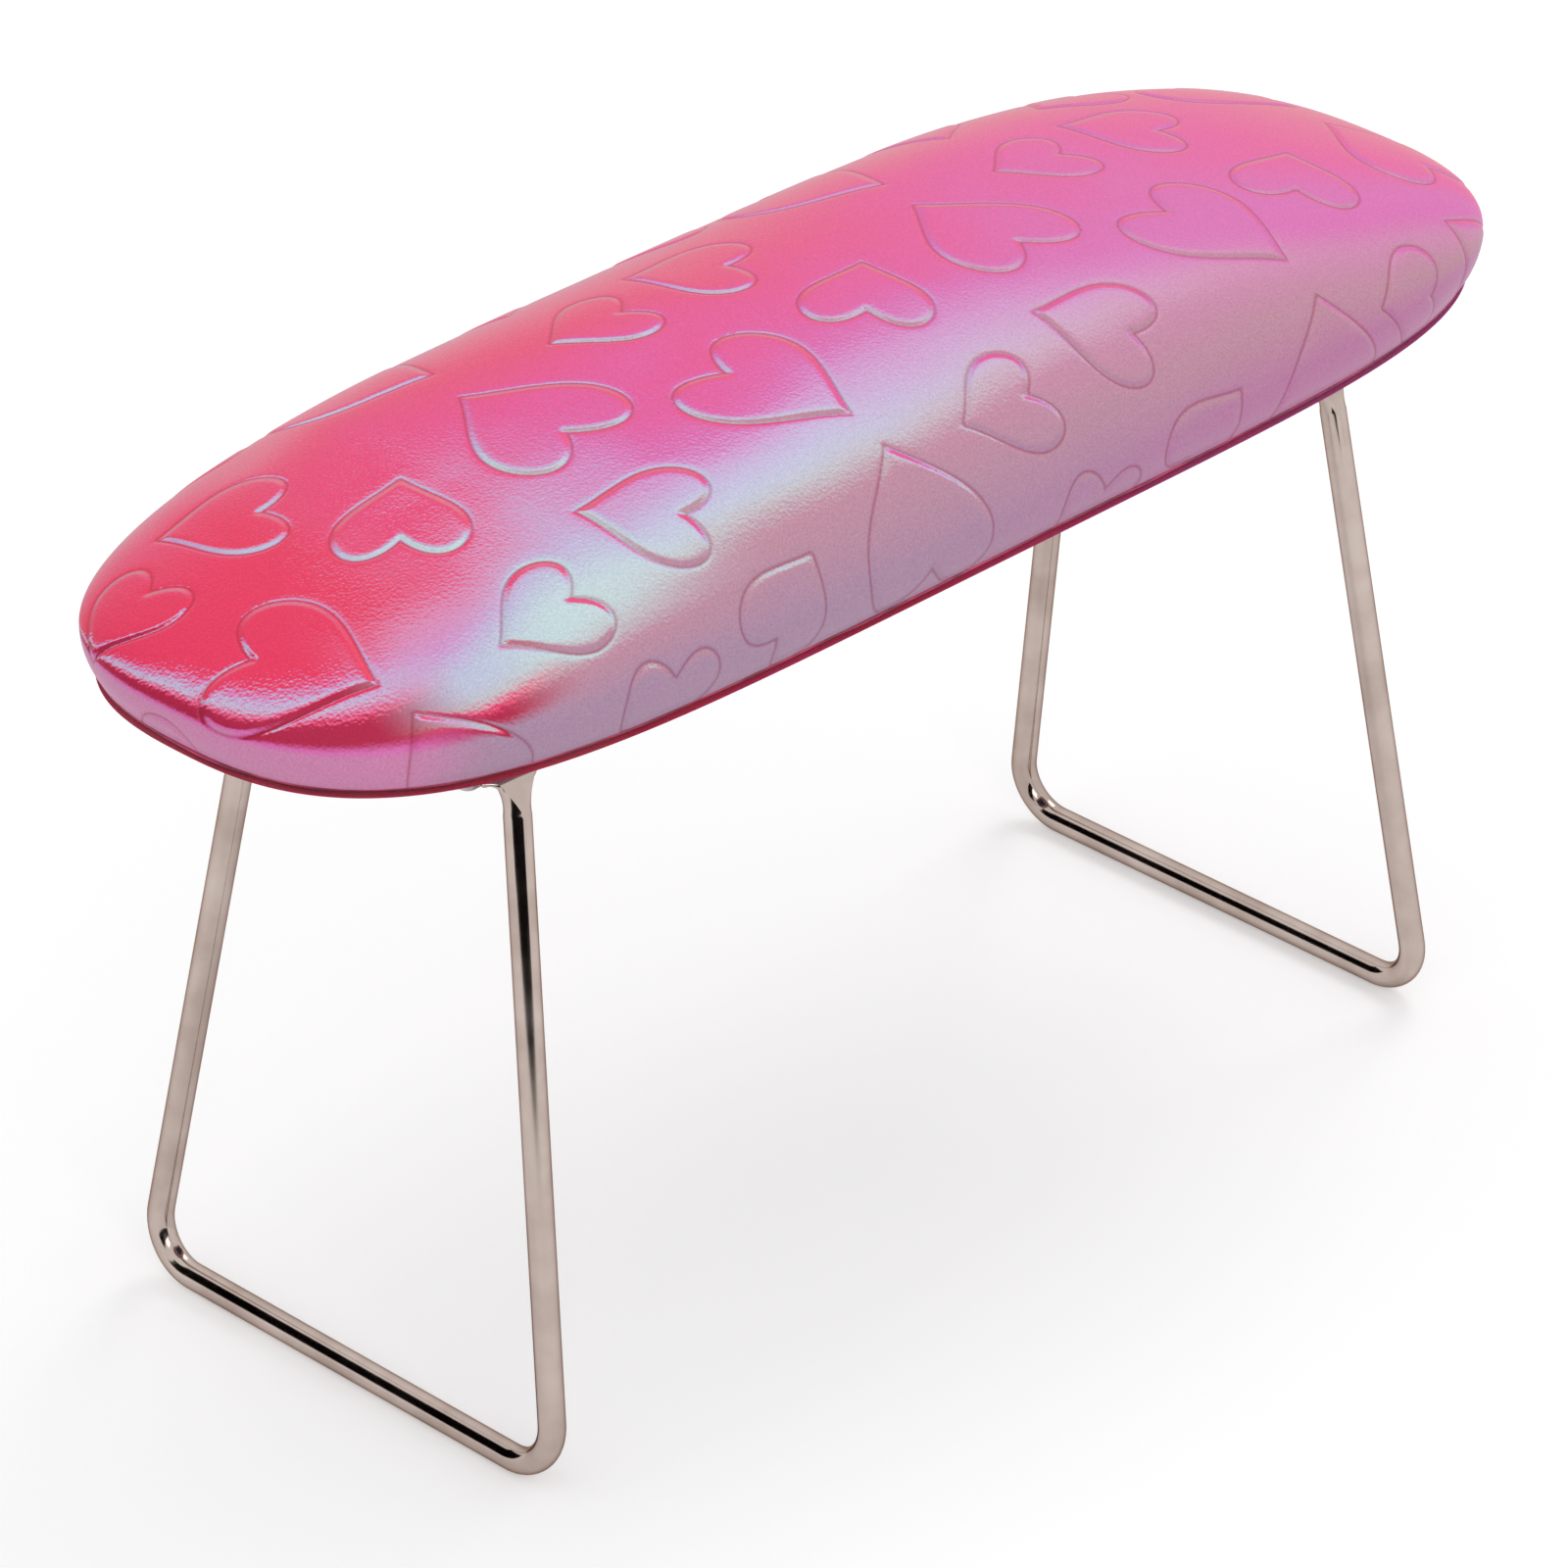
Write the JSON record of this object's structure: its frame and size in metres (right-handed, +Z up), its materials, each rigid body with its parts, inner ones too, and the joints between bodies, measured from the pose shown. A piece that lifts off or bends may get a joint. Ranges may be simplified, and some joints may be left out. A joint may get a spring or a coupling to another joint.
{
  "type": "manicure hand rest",
  "caption": "Padded rest that holds up a hand or wrist during a manicure, with a domed heart-embossed pad on two bent wire legs.",
  "frame": {"origin": "on the floor, below the middle of the pad", "axes": "+X along the pad, +Y across it, +Z up"},
  "size_m": [0.3024, 0.1056, 0.1711],
  "materials": {
    "cover_film": "pearl-coated pink leatherette, fine grain, satin",
    "welt_film": "crimson cut edge of the leatherette",
    "foam": "cream open-cell foam",
    "board": "raw fibreboard",
    "lining": "black non-woven lining",
    "leg_nickel": "bright nickel plate",
    "plate_steel": "nickel-plated strip",
    "screw_steel": "zinc-plated steel"
  },
  "bodies": {
    "root": {"top_cover": "cover_film", "rim_welt": "welt_film", "under_cover": "cover_film", "foam_pad": "foam", "base_board": "board", "bottom_lining": "lining", "leg_frame_left": "leg_nickel", "leg_frame_right": "leg_nickel", "mounting_plate_left": "plate_steel", "mounting_plate_right": "plate_steel", "plate_screw_left_1": "screw_steel", "plate_screw_left_2": "screw_steel", "plate_screw_left_3": "screw_steel", "plate_screw_left_4": "screw_steel", "plate_screw_right_1": "screw_steel", "plate_screw_right_2": "screw_steel", "plate_screw_right_3": "screw_steel", "plate_screw_right_4": "screw_steel"}
  },
  "joints": []
}
